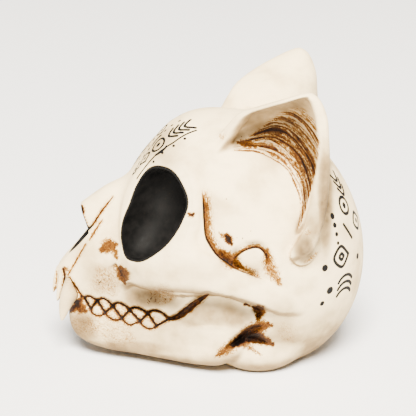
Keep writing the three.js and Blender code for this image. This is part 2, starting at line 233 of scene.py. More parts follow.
def along(rows, t):
    """Smooth curves through rows whose first number is the parameter: one array a column."""
    table = np.array(rows, float)
    knots, values = table[:, 0], table[:, 1:]
    slopes = np.gradient(values, knots, axis=0, edge_order=1)
    t = np.clip(t, knots[0], knots[-1])
    i = np.clip(np.searchsorted(knots, t, side="right") - 1, 0, len(knots) - 2)
    step = (knots[i + 1] - knots[i])[:, None]
    s = ((t - knots[i]) / step[:, 0])[:, None]
    rise = 3 * s**2 - 2 * s**3
    bend = (s**3 - 2 * s**2 + s) * step * slopes[i] + (s**3 - s**2) * step * slopes[i + 1]
    return (values[i] * (1 - rise) + values[i + 1] * rise + bend).T


def bar(p, stations, over=2.3, under=2.3, cap=5):
    """A shape along Y: squarer above and below with a higher power, its ends rounded."""
    x, z, half_width, half_height = along(stations, p[:, 1])
    across = np.abs(p[:, 0] - x) / half_width
    up = (p[:, 2] - z) / half_height
    power = np.where(up > 0, over, under)
    reach = (across**power + np.abs(up)**power) ** (1 / power)
    d = (reach - 1) * np.minimum(half_width, half_height)
    ends = np.maximum(stations[0][0] - p[:, 1], p[:, 1] - stations[-1][0])
    return carve(d, -ends, cap)


def pillar(p, rows, cap=1.0):
    """A shape along Z with elliptical sections."""
    x, y, half_width, half_length = along(rows, p[:, 2])
    reach = np.hypot((p[:, 0] - x) / half_width, (p[:, 1] - y) / half_length)
    d = (reach - 1) * np.minimum(half_width, half_length)
    ends = np.maximum(rows[0][0] - p[:, 2], p[:, 2] - rows[-1][0])
    return carve(d, -ends, cap)


def peg(p, root, tip, radius):
    """A round tooth from its root to its tip."""
    a, b = np.array(root, float), np.array(tip, float)
    t = np.clip((p - a) @ (b - a) / ((b - a) @ (b - a)), 0, 1)
    near = np.linalg.norm(p - a - t[:, None] * (b - a), axis=1)
    return near - radius * (1 - 0.75 * t**2)


def in_socket(p):
    """Points in the eye socket's frame, whose second axis points into the head."""
    q = turned(p - np.array(SOCKET_CENTRE), 2, -SOCKET_TURN)
    return turned(q, 0, SOCKET_LIFT)


def socket_hollow(s, grow):
    """The eye socket: straight outside its frame, a bowl inside it."""
    radius, = along(SOCKET_OUTLINE, np.degrees(np.arctan2(s[:, 2], s[:, 0])))
    across = np.hypot(s[:, 0], s[:, 2]) / (radius + grow)
    inward = np.maximum(s[:, 1], 0) / (SOCKET_DEPTH + grow)
    reach = (across**SOCKET_FLAT + inward**SOCKET_FLAT) ** (1 / SOCKET_FLAT)
    return (reach - 1) * np.minimum(radius, SOCKET_DEPTH)


def orbit(s):
    """Ring of bone round the eye socket."""
    reach = np.hypot((s[:, 0] - ORBIT_SHIFT) / ORBIT_RADII[0], s[:, 2] / ORBIT_RADII[1])
    limit, = along(ORBIT_REACH, s[:, 1])
    return carve((reach - limit) * ORBIT_RADII[0] * 0.8, 2 + s[:, 1], 2)


def notch(p):
    """The wedge cut away before the nose opening, between the nasal tip and the sill."""
    at = p[:, 1:] - np.array(NOTCH)
    sides = []
    for end, turn in ((NOTCH_TIP, 1), (NOTCH_SILL, -1)):
        way = np.array(end) - np.array(NOTCH)
        way = way / np.hypot(*way)
        sides.append(turn * (way[0] * at[:, 1] - way[1] * at[:, 0]))
    return -np.minimum(*sides)


def nostril(p, grow):
    """The nose opening: an elliptical hole along its own axis."""
    q = turned(p - np.array(NOSTRIL["centre"]), 0, -NOSTRIL["pitch"])
    rx, rz = NOSTRIL["radii"]
    side = (np.hypot(q[:, 0] / rx, q[:, 2] / rz) - 1) * rx - grow
    return np.maximum(side, np.abs(q[:, 1]) - NOSTRIL["depth"] - grow)


def ear(p):
    """Distance to the ear, and how far a point stands on the open side of its wall."""
    z = p[:, 2]
    front = np.stack(along(EAR_FRONT, z), 1)
    rear = np.stack(along(EAR_REAR, z), 1)
    chord = rear - front
    length = np.linalg.norm(chord, axis=1)
    way = chord / length[:, None]
    q = p[:, :2] - front
    run = (q * way).sum(1)
    off = q[:, 0] * way[:, 1] - q[:, 1] * way[:, 0]
    t = np.clip(run / length, 0, 1)
    bow = np.minimum(EAR_BOW, EAR_CURL * length)
    side = off + bow * (1 - (2 * t - 1) ** 2) ** 0.75
    wall = carve(np.abs(side) - EAR_WALL, -0.6 * np.maximum(-run, run - length), 3)
    radius, = along(EAR_RIM, z)
    middle = rear - way * radius[:, None]
    rim = np.hypot(*(p[:, :2] - middle).T) - radius
    radius, = along(EAR_LIP, z)
    lip = np.hypot(*(p[:, :2] - front - way * radius[:, None]).T) - radius
    d = blend(blend(wall, rim, 3), lip, 3)
    d = carve(d, EAR_SPAN[1] - z, 3)
    return carve(d, z - EAR_SPAN[0], 6), side


def head(p):
    """Everything but the eye sockets and the nose opening."""
    s = in_socket(p)
    d = carve(ellipsoid(p, **BRAIN), s[:, 1] + 1.5, 8)
    d = blend(d, ellipsoid(p, **FOREHEAD), 8)
    d = carve(d, ellipsoid(p, **TEMPLE), 5)
    d = blend(d, blend(bar(p, NOSE, cap=0.6), bar(p, SNOUT, over=2, under=4), 9), 7)
    d = blend(d, blend(bar(p, CHEEK), orbit(s), 5), 1.5 + 5 * ramp(-s[:, 0], -8, 8))
    d = carve(d, ellipsoid(p, **UNDERCUT), 3)
    d = blend(d, ellipsoid(p, **BULLA), 5)
    d = blend(d, ellipsoid(p, **BASE), 5)
    jaw = blend(bar(p, JAW, over=4), ellipsoid(p, **RAMUS), 5)
    d = blend(d, blend(jaw, ellipsoid(p, **THROAT), 3), 2)
    d = blend(d, ellipsoid(p, **KNOB), 1)
    shell, _ = ear(p)
    _, dip = ear_hollow(p)
    d = blend(d + dip, shell, 4)
    d = carve(d, notch(p), 0.4)
    for root, tip, radius in INCISORS:
        d = blend(d, peg(p, root, tip, radius), 0.8)
    return np.maximum(d, -p[:, 2])


def bone(p):
    d = head(p) + relief(p)
    d = carve(d, socket_hollow(in_socket(p), 0), OPENING_EDGE)
    return carve(d, nostril(p, 0), OPENING_EDGE)


def socket_paint(p):
    s = in_socket(p)
    shell = np.maximum(socket_hollow(s, -PAINT_GAP), -socket_hollow(s, -PAINT))
    return np.maximum(shell, head(p) + PAINT_INSET)


def nose_paint(p):
    shell = np.maximum(nostril(p, -PAINT_GAP), -nostril(p, -PAINT))
    return np.maximum(shell, head(p) + PAINT_INSET)


def canine(p):
    return pillar(p, CANINE)


# ---- marks on the side, laid out on the picture plane through the target -----------------------

# Grooves: points, half width, depth, how dark the wash lies in them, and how much they taper.
MOUTH_LINE = [
    (-59.6, -43.2), (-56.5, -48.6), (-53.3, -44.7), (-49.7, -50.4), (-45.8, -47.4),
    (-41.6, -53.1), (-37.7, -49.2), (-32.8, -54.6), (-28.9, -50.7), (-25.0, -56.9),
    (-18.7, -53.4),
]
UPPER_GUMS = [
    [(-59.6, -43.2), (-57.2, -42.6), (-53.3, -44.7)],
    [(-53.3, -44.7), (-50.9, -43.6), (-48.2, -45.0), (-45.8, -47.4)],
    [(-45.8, -47.4), (-44.4, -46.1), (-42.5, -45.9), (-39.8, -47.3), (-37.7, -49.2)],
    [(-37.7, -49.2), (-36.2, -48.2), (-34.0, -48.0), (-31.3, -49.3), (-28.9, -50.7)],
    [(-28.9, -50.7), (-27.5, -49.7), (-25.3, -49.3), (-22.2, -50.4), (-18.7, -53.4)],
]
LOWER_GUMS = [
    [(-56.5, -48.6), (-55.5, -50.9), (-53.0, -51.9), (-50.9, -51.6), (-49.7, -50.4)],
    [(-49.7, -50.4), (-47.9, -52.6), (-45.2, -54.0), (-42.9, -53.9), (-41.6, -53.1)],
    [(-41.6, -53.1), (-40.0, -55.0), (-37.7, -56.4), (-35.4, -55.7), (-32.8, -54.6)],
    [(-32.8, -54.6), (-31.2, -56.9), (-28.9, -58.1), (-26.5, -58.0), (-25.0, -56.9)],
]
MOUTH_CORNER = [(-19.5, -53.8), (-14.5, -52.3), (-10.1, -49.2), (-5.3, -45.3), (0, -41.8)]
GROOVES = [
    *[([a, b], 0.48, 1.0, 1.0, 0) for a, b in zip(MOUTH_LINE[:-1], MOUTH_LINE[1:])],
    *[(points, 0.38, 0.7, 0.95, 0) for points in UPPER_GUMS],
    *[(points, 0.34, 0.6, 0.9, 0) for points in LOWER_GUMS],
    (MOUTH_CORNER, 1.7, 2.2, 0.86, 0.8),
    ([(-57.0, -9.9), (-54.3, -6.3), (-51.4, -1.7), (-45.9, 5.3)], 0.38, 0.8, 0.85, 0.6),
    ([(-57.2, -15.4), (-54.8, -11.6), (-51.1, -5.8)], 0.5, 0.4, 0.6, 0.8),
    ([(-59.0, -17.4), (-63.4, -25.1), (-67.5, -32.3)], 0.4, 0.6, 0.55, 0.3),
    ([(-72.9, -30.4), (-73.0, -34.5), (-74.0, -39.5)], 0.25, 0.7, 0.5, 0.3),
    ([(-69.9, -29.2), (-69.1, -32.3), (-69.5, -36.5), (-70.6, -42.8)], 0.45, 0.8, 0.95, 0.3),
    ([(9.5, -67.4), (15.5, -62.8), (20.5, -59.2), (25.0, -57.4)], 2.0, 4.5, 0.3, 0.7),
    ([(16.5, -63.0), (21.5, -62.8), (27.9, -65.0)], 1.8, 3.5, 0.3, 0.8),
    ([(22.0, -48.4), (24.4, -50.1), (24.4, -53.9)], 1.5, 2.5, 0.3, 0.5),
    ([(9.3, -12.4), (10.3, -15.5), (10.6, -17.6)], 1.6, 0.9, 0.4, 0.8),
    ([(-9.8, -2.6), (-8.2, -3.4), (-6.4, -2.8)], 0.6, 0.9, 0.5, 0.7),
    ([(-66.8, -33.7), (-63.8, -37.9), (-60.8, -42.4)], 0.4, 0.5, 0.95, 0.3),
    ([(-60.6, -2.4), (-59.6, -5.5), (-57.6, -10.2)], 0.35, 0.3, 0.9, 0.5),
    ([(-61.0, 0.8), (-60.3, -2.0)], 0.8, 0.2, 1.0, 0.2),
]

# Ledges: the surface drops on one side of a curve (1 for its left) and comes back over a run.
# Points, side, drop, run, and the wash against the ledge: how dark and how far it reaches.
LEDGES = [
    ([(-3.1, 11.1), (-2.4, 0), (-1.6, -12.5), (0.5, -17.8), (4.3, -23.1), (9.6, -27.0),
      (14.0, -29.7), (24.6, -33.8), (34.7, -37.6)], 1, 3.2, 12, 1.0, 6.0),
    ([(11.3, -26.3), (14.9, -22.7), (18.8, -20.3), (23.6, -19.3), (26.5, -21.2), (28.2, -24.6),
      (27.5, -28.0), (24.6, -33.3)], 1, 2.2, 5, 1.0, 3.0),
    ([(-39.1, -35.2), (-32.8, -38.1), (-23.1, -40.5), (-13.5, -42.4), (0.8, -41.5), (10.1, -42.9),
      (17.8, -45.6), (27.0, -48.9), (34.7, -51.4)], -1, 4.4, 12, 0.0, 4.0),
    ([(-44.8, -26.0), (-41.9, -30.4), (-39.1, -35.2)], -1, 1.6, 6, 0.5, 4.0),
    ([(-14.0, -58.4), (-4.0, -57.2), (8.0, -57.4), (18.0, -60.0)], 1, 0.9, 9, 0.0, 4.0),
    ([(51.1, -1.9), (46.8, -10.5), (41.6, -18.5), (39.6, -22.5), (41.0, -26.2), (44.6, -27.9),
      (48.6, -26.8), (52.2, -23.0), (55.4, -17.5)], -1, 1.5, 7, 0.08, 3.0),
]

# Stains without relief: points, half width, softness and strength.
STAINS = [
    ([(-51.6, -20.6), (-48.0, -18.4), (-44.4, -17.4)], 2.8, 2.6, 0.7),
    ([(-44.8, -19.0), (-44.2, -25.0)], 0.6, 1.4, 0.6),
    ([(-42.4, -28.0), (-40.8, -32.0), (-40.0, -36.0)], 2.4, 2.0, 0.75),
    ([(-69.2, -28.8), (-67.4, -30.0)], 0.8, 1.8, 0.5),
    ([(-71.8, -43.4), (-71.2, -44.6)], 0.3, 0.9, 0.6),
    ([(-52.0, -30.0), (-46.0, -40.0)], 3.0, 11.0, 0.2),
    ([(-57.0, -55.0), (-36.0, -63.0)], 3.0, 9.0, 0.16),
    ([(-67.0, -54.0), (-60.0, -57.0), (-55.0, -58.0)], 3.0, 6.0, 0.12),
    ([(-28.0, -41.0), (-16.0, -43.0)], 2.0, 5.0, 0.2),
    ([(36.0, -56.0), (40.0, -64.0)], 2.0, 6.0, 0.1),
    ([(4.0, -71.2), (11.0, -66.8), (16.0, -62.8)], 1.2, 3.4, 0.6),
    ([(12.0, -66.5), (17.0, -62.5), (21.5, -59.5), (26.0, -57.0), (30.5, -56.4)], 2.4, 3.2, 0.72),
    ([(12.0, -66.0), (18.0, -63.0), (24.0, -62.6), (31.5, -65.8)], 2.2, 2.6, 0.78),
    ([(13.0, -66.0), (19.0, -67.0), (26.0, -71.0)], 0.5, 1.4, 0.45),
    ([(22.0, -47.8), (25.4, -49.6), (23.6, -53.4)], 1.7, 2.0, 0.8),
    ([(17.4, -46.2), (20.6, -47.2)], 0.5, 0.6, 0.9),
    ([(-60.4, -42.6), (-64.1, -47.3), (-67.5, -50.6)], 1.0, 1.8, 0.85),
    ([(-64.1, -44.8), (-61.2, -48.2), (-58.8, -49.7)], 1.6, 2.8, 0.75),
    ([(-56.0, -45.0), (-44.0, -50.0), (-24.0, -53.5)], 2.5, 4.0, 0.15),
    ([(6.0, -21.0), (11.0, -25.4), (16.0, -28.4)], 2.6, 3.0, 0.66),
    ([(16.0, -28.0), (21.0, -31.0), (25.0, -33.6)], 0.8, 2.2, 0.4),
    ([(28.4, -20.0), (29.6, -28.0), (35.0, -37.0)], 1.6, 3.4, 0.5),
    ([(8.6, -12.4), (9.8, -15.0), (11.4, -17.8)], 1.2, 1.4, 0.95),
    ([(5.6, -11.8), (8.4, -14.6)], 0.4, 1.4, 0.5),
    ([(-9.8, -2.6), (-8.2, -3.4), (-6.2, -2.8)], 0.6, 0.8, 0.9),
    ([(46.0, -26.5), (49.5, -24.6), (53.0, -21.0)], 0.4, 1.2, 0.25),
    ([(48.0, -10.5), (48.4, -13.0)], 0.5, 2.0, 0.25),
    ([(6.0, 35.5), (7.6, 33.0)], 0.5, 1.8, 0.3),
    ([(14.4, 31.8), (18.0, 31.0), (23.0, 29.6)], 0.6, 2.4, 0.7),
]
STAIN_TAPER = 0.7                # how much a stain narrows toward both ends
FRAY = 0.3                       # how far its edge strays

# Speckles: middle, half width, half height and strength.
SPECKLES = [
    ((-50.0, -34.0), 8, 6, 0.9),
    ((-52.0, -36.0), 5, 4, 1.0),
    ((-26.0, -44.0), 14, 6, 1.0),
    ((-58.0, -54.0), 8, 6, 0.6),
    ((45.0, -12.0), 5, 12, 0.5),
    ((8.0, 2.0), 9, 14, 0.3),
    ((20.0, 34.0), 9, 9, 0.8),
    ((16.0, -16.0), 10, 8, 0.5),
]

# Patches of antique glaze and painted shade: painted shade in the recess under the cheekbone and
# behind the mouth, on the ear's rear rim and lobe and low on the jaw, and glaze tone elsewhere.
# Middle, half width, half height and strength.
SHADES = [
    ((4.0, -52.0), 24, 9, 0.6),
    ((-6.0, -54.5), 13, 6, 0.5),
    ((14.0, -54.0), 12, 8, 0.55),
    ((-28.0, -43.0), 19, 8, 1.0),
    ((56.5, 4.0), 5.5, 38, 1.0),
    ((46.5, -19.5), 7.5, 11, 1.0),
    ((52.0, -10.0), 9, 22, 0.5),
    ((-62.0, -58.0), 14, 14, 0.75),
    ((36.0, -56.0), 12, 18, 0.4),
    ((-50.0, -34.0), 20, 14, 0.4),
    ((-22.0, 30.0), 16, 16, 0.4),
    ((-39.0, -68.0), 34, 7, 0.7),
    ((-30.0, -62.0), 40, 16, 0.3),
    ((-4.0, -31.0), 24, 10, 0.15),
    ((24.0, -33.0), 8, 5, 0.2),
    ((20.0, -60.0), 14, 10, 0.4),
]

HOLLOW_REACHES = (3, 8)          # how far a hollow is looked for in front of the surface

# The ear's hollow lies outside a ring, out to its edge, given as angle and width.
RING_CENTRE = (16.9, 0.0)
RING_RADIUS = 27.7
HOLLOW_EDGE = [
    (-30, 0.6), (-4, 2.4), (10, 5), (27, 12.4), (45, 24.5), (59, 30.8), (71, 24), (86, 15),
    (98, 9), (107, 5), (118, 2),
]
HOLLOW_DEPTH = 7
HOLLOW_START, HOLLOW_END = HOLLOW_EDGE[0][0], HOLLOW_EDGE[-1][0]

# Streaks in it: row, half width and darkness. Rows are counted out from the ring, and crowd
# toward both ends of the hollow. Each row starts at an angle of its own.
STREAKS = [
    (0.2, 0.4, 0.75), (2.0, 0.6, 0.6), (4.3, 0.5, 0.9), (6.0, 0.3, 0.5), (7.7, 0.4, 0.75),
    (9.6, 0.8, 1.0), (11.3, 0.3, 0.6), (12.4, 0.3, 0.7), (13.7, 0.8, 1.0), (15.4, 0.5, 0.85),
    (17.2, 0.3, 0.6), (18.8, 0.35, 0.6), (20.6, 0.3, 0.55), (22.0, 0.4, 0.7), (23.2, 0.7, 0.95),
    (25.4, 0.3, 0.5), (27.4, 0.3, 0.45), (29.4, 0.3, 0.4),
]
STREAK_START = [(0, 104), (4, 100), (9.6, 92), (13.6, 87), (18, 80), (23, 71), (30, 64)]
STREAK_SPREAD = [
    (-20, 0.7), (14, 0.62), (22, 0.72), (32, 0.83), (45, 0.93), (55, 1), (65, 1), (71, 0.9),
    (76, 0.75), (82, 0.6), (92, 0.5), (104, 0.4),
]
STREAK_DEPTH = 0.6
GROOVE_ROUND = 0.25              # added to a groove's half width where it is cut

# How the grain of the wash is stretched along and across each kind of stroke.
PLAIN_GRAIN = 0.7
GROOVE_GRAIN = 5
STAIN_GRAIN = (8, 1.5)
STREAK_GRAIN = 0.6


def off_midline(p):
    """0 at the midline and 1 on the sides, where the marks belong."""
    return ramp(p[:, 0], 1, 4)


def faces_side(normal):
    """1 where the surface faces the side and 0 where it turns away."""
    return ramp(normal @ VIEW_BACK, -0.1, 0.15)


def layout(p):
    """Places on the picture plane through the target, in millimetres."""
    q = p - VIEW_TARGET
    scale = VIEW_DISTANCE / (VIEW_DISTANCE - q @ VIEW_BACK)
    return np.stack([q[:, 1] * scale, q @ VIEW_UP * scale], 1)


def smoothed(points, pieces=6):
    """A curve through points, as a line of more points."""
    ends = np.array(points, float)
    t = np.arange(len(ends))
    fine = np.linspace(0, t[-1], t[-1] * pieces + 1)
    return np.stack(along(np.column_stack([t, ends]), fine), 1)


def stroke(at, points, reach):
    """Who lies within reach of a curve, how far from it, + on its left, and how far along it."""
    line = smoothed(points)
    low, high = line.min(0) - reach, line.max(0) + reach
    some = np.flatnonzero(((at > low) & (at < high)).all(1))
    place = at[some]
    near = np.full(len(some), float(reach))
    side = np.ones(len(some))
    share = np.zeros(len(some))
    for k, (a, b) in enumerate(zip(line[:-1], line[1:])):
        way, q = b - a, place - a
        t = np.clip(q @ way / (way @ way + 1e-12), 0, 1)
        d = np.hypot(*(q - t[:, None] * way).T)
        closer = d < near
        near[closer] = d[closer]
        side[closer] = np.where(way[0] * q[closer, 1] - way[1] * q[closer, 0] > 0, 1, -1)
        share[closer] = (k + t[closer]) / (len(line) - 1)
    return some, near, side, share


def frayed(at):
    """Places shifted a little, so that what is laid out on them gets ragged edges."""
    u, w = at.T
    shift = [
        np.sin(1.9 * w + 1.7 * np.sin(0.8 * u)) + 0.6 * np.sin(5.3 * w - 3.1 * u),
        np.sin(2.3 * u + 1.1 * np.sin(1.9 * w)) + 0.6 * np.sin(4.1 * u + 4.7 * w),
    ]
    return at + FRAY * np.stack(shift, 1)


def tapered(half_width, share, taper):
    return half_width * (1 - taper * (2 * share - 1) ** 2)


def round_ring(p):
    """Distance outside the ring of the ear's hollow, the angle round it, and the hollow's width."""
    at = layout(p) - np.array(RING_CENTRE)
    angle = np.degrees(np.arctan2(at[:, 1], at[:, 0]))
    width, = along(HOLLOW_EDGE, angle)
    return np.hypot(*at.T) - RING_RADIUS, angle, width


def ear_hollow(p):
    """How far into the ear's hollow a point lies, from 0 to 1, and the depth there."""
    out, angle, width = round_ring(p)
    row = np.clip(out / width, 0, 1.3)
    inside = ramp(row, 0, 0.6) * (1 - ramp(row, 0.6, 1.1))
    inside = inside * ramp(angle, HOLLOW_START, 10) * ramp(HOLLOW_END - angle, 0, 15)
    inside = inside * ramp(p[:, 0], 12, 22)
    return inside, inside * np.minimum(HOLLOW_DEPTH, 0.5 * width)


def streaks(p):
    """The streaks inside the ear, the glaze between them, and the place along and across."""
    out, angle, width = round_ring(p)
    spread, = along(STREAK_SPREAD, angle)
    row = out / spread
    sway = 0.35 * np.sin(1.9 * row + 0.11 * angle) + 0.25 * np.sin(0.7 * row - 0.19 * angle)
    _, open_side = ear(p)
    here = ramp(open_side, -1, 1) * ramp(p[:, 0], 8, 14) * ramp(angle, -26, -12)
    start, = along(STREAK_START, row)
    here = here * ramp(start - angle, 0, 9) * (1 - ramp(out / width, 0.88, 1.0))
    lines = np.zeros(len(p))
    for place, half_width, dark in STREAKS:
        lines = np.maximum(lines, dark * np.exp(-(((row + sway - place) / half_width) ** 2)))
    bands = 0.5 + 0.5 * np.sin(2.6 * row + 2.0 * np.sin(0.9 * row + 0.06 * angle))
    glaze = (0.08 + 0.42 * bands) * ramp(row, 1.5, 5) * (1 - ramp(row, 22, 32))
    return here * lines, here * glaze, angle * STREAK_GRAIN, row + sway


def relief(p):
    """How far grooves, ledges and streaks cut into the surface."""
    at = layout(p)
    cut = np.zeros(len(p))
    for points, half_width, depth, _, taper in GROOVES:
        some, near, _, share = stroke(at, points, 2 * half_width + 0.8)
        wide = tapered(half_width, share, taper) + GROOVE_ROUND
        deepest = depth * wide / (half_width + GROOVE_ROUND)
        cut[some] = np.maximum(cut[some], deepest * np.exp(-((near / wide) ** 2)))
    for points, side, drop, run, _, _ in LEDGES:
        some, near, left, share = stroke(at, points, run)
        ends = ramp(share, 0, 0.15) * ramp(1 - share, 0, 0.25)
        slope = 1 - ramp(near, 0, run)
        cut[some] += drop * ends * slope * ramp(near * left * side, -0.2, 0.4)
    lines, _, _, _ = streaks(p)
    return cut * off_midline(p) + STREAK_DEPTH * lines


def wash(p, normal):
    """How thick the brown wash lies, from 0 to 1, and the place along and across its strokes."""
    at = layout(p)
    amount = np.zeros(len(p))
    strands = at * PLAIN_GRAIN

    def lay(some, thick, lengthwise, crosswise):
        """Add a layer, whose grain shows where it is the thicker one."""
        more = thick > amount[some]
        strands[some[more]] = np.stack([lengthwise, crosswise], 1)[more]
        amount[some] = 1 - (1 - amount[some]) * (1 - thick)

    for points, half_width, _, dark, taper in GROOVES:
        some, near, left, share = stroke(at, points, half_width + 1.6)
        wide = tapered(half_width, share, taper)
        core = 1 - ramp(near, wide * 0.75, wide * 0.75 + 0.25 + 0.35 * wide)
        halo = 1 - ramp(near, wide, wide + 1.5)
        thick = dark * np.maximum(core, 0.3 * halo)
        lay(some, thick, share * len(points) * GROOVE_GRAIN, near * left)
    rough = frayed(at)
    for points, half_width, soft, dark in STAINS:
        some, near, left, share = stroke(rough, points, half_width + soft)
        wide = tapered(half_width, share, STAIN_TAPER)
        thick = dark * (1 - ramp(near, 0.5 * wide, wide + soft * wide / half_width))
        lay(some, thick, share * len(points) * STAIN_GRAIN[0], near * left * STAIN_GRAIN[1])
    for points, side, _, _, dark, reach in LEDGES:
        some, near, left, share = stroke(at, points, reach)
        ends = ramp(share, 0, 0.12) * ramp(1 - share, 0.1, 0.4)
        off = near * left * side
        edge = np.maximum(1 - ramp(off, 0.4, 1.4), 0.72 * (1 - ramp(off, 0.5, reach)))
        edge = ramp(off, -0.3, 0.1) * edge
        lay(some, dark * ends * edge, share * len(points) * STAIN_GRAIN[0], off)
    lines, glaze, lengthwise, crosswise = streaks(p)
    lay(np.arange(len(p)), np.maximum(lines, glaze), lengthwise, crosswise)
    muzzle_tip = ramp(-at[:, 0], 57, 59)
    seen = np.maximum(off_midline(p), muzzle_tip)
    return amount * seen * faces_side(normal), strands


def patches(p, table):
    """How much of a table of soft round patches lies on each point."""
    at = layout(p)
    amount = np.zeros(len(p))
    for middle, wide, high, strength in table:
        away = np.hypot(*((at - np.array(middle)) / np.array((wide, high))).T)
        amount = np.maximum(amount, strength * (1 - ramp(away, 0.2, 1)))
    return amount * off_midline(p)


def hollow(p, normal):
    """How much of the space in front of a point the surface around it fills: where the painted shade
    in recesses lies.
    """
    here = head(p)
    slope = np.clip((head(p + normal) - here), 0.5, 2)
    filled = np.zeros(len(p))
    for reach in HOLLOW_REACHES:
        clear = (head(p + normal * reach) - here) / (reach * slope)
        filled += np.clip(1 - clear, 0, 1) / len(HOLLOW_REACHES)
    return filled


def glaze_and_painted_shade(p, normal):
    """Antique glaze and painted shade: the glaze lies in patches; painted shade lies in hollows, in
    the ear's hollow, on undersides and in some of the patches.
    """
    inside_ear, _ = ear_hollow(p)
    shade = patches(p, SHADES)
    # Painted shade inside the ear's hollow, on surfaces that face the side.
    shade = np.maximum(shade, 0.9 * inside_ear * faces_side(normal))
    painted_underside_shade = ramp(-normal[:, 2], 0.1, 0.8)
    # Painted shade on surfaces that face downward.
    shade = np.maximum(shade, 0.9 * painted_underside_shade)
    # Painted shade in recesses, weaker toward the back of the head.
    back = ramp(p[:, 1], 38, 50)
    painted_recess_shade = 0.8 * ramp(hollow(p, normal), 0.45, 1.0) * (1 - 0.85 * back)
    return np.maximum(shade, painted_recess_shade)


# Ink: generic marks laid out on the back of the head and on the forehead. Each mark is a
# curve and its half width.
BACK_LINE = 0.8
FOREHEAD_LINE = 0.65


def ring(x, y, radius, start=0, end=360, corners=24):
    turns = np.radians(np.linspace(start, end, corners + 1))
    return [(x + radius * math.cos(t), y + radius * math.sin(t)) for t in turns]


def diamond(x, y, radius):
    return ring(x, y, radius, corners=4)


def chevrons(x, y, size, count, gap):
    rows = [y + k * gap for k in range(count)]
    return [[(x - size, row), (x, row - size), (x + size, row)] for row in rows]


def dot(x, y, radius):
    return [(x, y)] * 2, radius


BACK_INK = [
    *[(points, BACK_LINE) for points in chevrons(-15.5, 88.0, size=3.6, count=3, gap=3.2)],
    (ring(-20.0, 80.5, 3.8), BACK_LINE),
    dot(-20.0, 80.5, 1.5),
    *[dot(-32.0, 78.5 - 4.2 * k, 1.5 - 0.2 * k) for k in range(4)],
    (diamond(-12.0, 71.0, 4.0), BACK_LINE),
    dot(-12.0, 71.0, 1.2),
    ([(-25.5, 73.0), (-21.0, 65.5)], BACK_LINE),
    (diamond(-30.5, 59.0, 5.0), BACK_LINE),
    (diamond(-30.5, 59.0, 1.5), BACK_LINE),
    *[(ring(-27.5, 43.5 - 3.4 * k, 5.6, 30, 150), BACK_LINE) for k in range(3)],
    dot(-41.0, 56.0, 1.7),
    dot(-37.5, 44.0, 1.9),
    dot(-41.0, 38.0, 1.3),
    dot(-17.0, 55.0, 1.5),
]
FOREHEAD_INK = [
    (ring(11.5, 0, 3.8), FOREHEAD_LINE),
    dot(11.5, 0, 1.3),
    *[(points, FOREHEAD_LINE) for points in chevrons(12, 10.0, size=3.4, count=4, gap=2.8)],
    (diamond(10.5, -9.5, 3.6), FOREHEAD_LINE),
    dot(10.5, -9.5, 0.9),
    *[(points, FOREHEAD_LINE) for points in chevrons(9.0, -17.0, size=2.6, count=2, gap=2.6)],
    (ring(11.5, 0, 6.4, 150, 210), FOREHEAD_LINE),
    (ring(11.5, 0, 6.4, -30, 30), FOREHEAD_LINE),
    *[dot(5.2, 14.0 - 4.0 * k, 0.8) for k in range(8)],
    ([(16.5, -18.0), (17.0, -6.0), (17.4, 6.0), (17.0, 18.0)], 0.45),
    *[dot(19.0, 12.0 - 6.0 * k, 0.7) for k in range(5)],
    (diamond(0, 4.0, 3.4), FOREHEAD_LINE),
    dot(0, 4.0, 1.0),
    *[dot(0, -2.0 - 4.0 * k, 1.1 - 0.15 * k) for k in range(4)],
]
FOREHEAD_MIDDLE = (-24.0, 108.5)     # y and z
FOREHEAD_SLOPE = 50                  # degrees
BACK_RADIUS = 50
INK_FAR = 3.0                        # the distance given where no ink is near


def back_chart(p):
    """Places on the back of the head: round it, up to 0 at the midline, and the height."""
    turn = np.arctan2(p[:, 0], p[:, 1] - BRAIN["centre"][1])
    return np.stack([-BACK_RADIUS * turn, p[:, 2]], 1)


def forehead_chart(p):
    """Places on the forehead: out from the midline, and up along the slope."""
    slope = math.radians(FOREHEAD_SLOPE)
    y, z = p[:, 1] - FOREHEAD_MIDDLE[0], p[:, 2] - FOREHEAD_MIDDLE[1]
    return np.stack([p[:, 0], y * math.cos(slope) + z * math.sin(slope)], 1)


def ink(p, normal):
    """Distance to the edge of the nearest ink mark, negative inside."""
    apart = np.full(len(p), INK_FAR)
    off_ear = ear(p)[0] > 1.5
    charts = (
        (back_chart(p), (p[:, 1] > 30) & off_ear, BACK_INK),
        (forehead_chart(p), (p[:, 1] < 5) & (normal[:, 2] > 0.1), FOREHEAD_INK),
    )
    for chart, here, marks in charts:
        for points, half_width in marks:
            some, near, _, _ = stroke(chart, points, INK_FAR)
            closer = np.minimum(apart[some], near - half_width)
            apart[some] = np.where(here[some], closer, apart[some])
    return apart


# ---- meshes ------------------------------------------------------------------------------------


def grid_points(low, step, index):
    return low + np.stack(index, 1) * step


def halved(values):
    """The same grid with a point put half way between each two."""
    for axis in range(3):
        values = np.moveaxis(values, axis, 0)
        finer = np.empty((2 * len(values) - 1, *values.shape[1:]), np.float32)
        finer[::2] = values
        finer[1::2] = 0.5 * (values[:-1] + values[1:])
        values = np.moveaxis(finer, 0, axis)
    return values


def sampled(field, low, high, step):
    """A field on a grid, exact near its surface, from a grid four times as coarse."""
    low = np.array(low, float)
    coarse = 4 * step
    count = np.ceil((np.array(high) - low) / coarse).astype(int) + 1
    index = [a.ravel() for a in np.indices(count)]
    values = field(grid_points(low, coarse, index)).reshape(count).astype(np.float32)
    for finer in (2 * step, step):
        values = halved(values)
        index = np.nonzero(np.abs(values) < 2.2 * finer)
        values[index] = field(grid_points(low, finer, index))
    return values


def largest_part(points, quads):
    """The points and quads of a mesh without its smaller separate parts."""
    label = np.arange(len(points))
    while True:
        lower = label.copy()
        np.minimum.at(lower, quads.ravel(), np.repeat(label[quads].min(axis=1), 4))
        lower = lower[lower]
        if (lower == label).all():
            break
        label = lower
    kept = label == np.bincount(label).argmax()
    renumbered = np.cumsum(kept) - 1
    return points[kept], renumbered[quads[kept[quads[:, 0]]]]


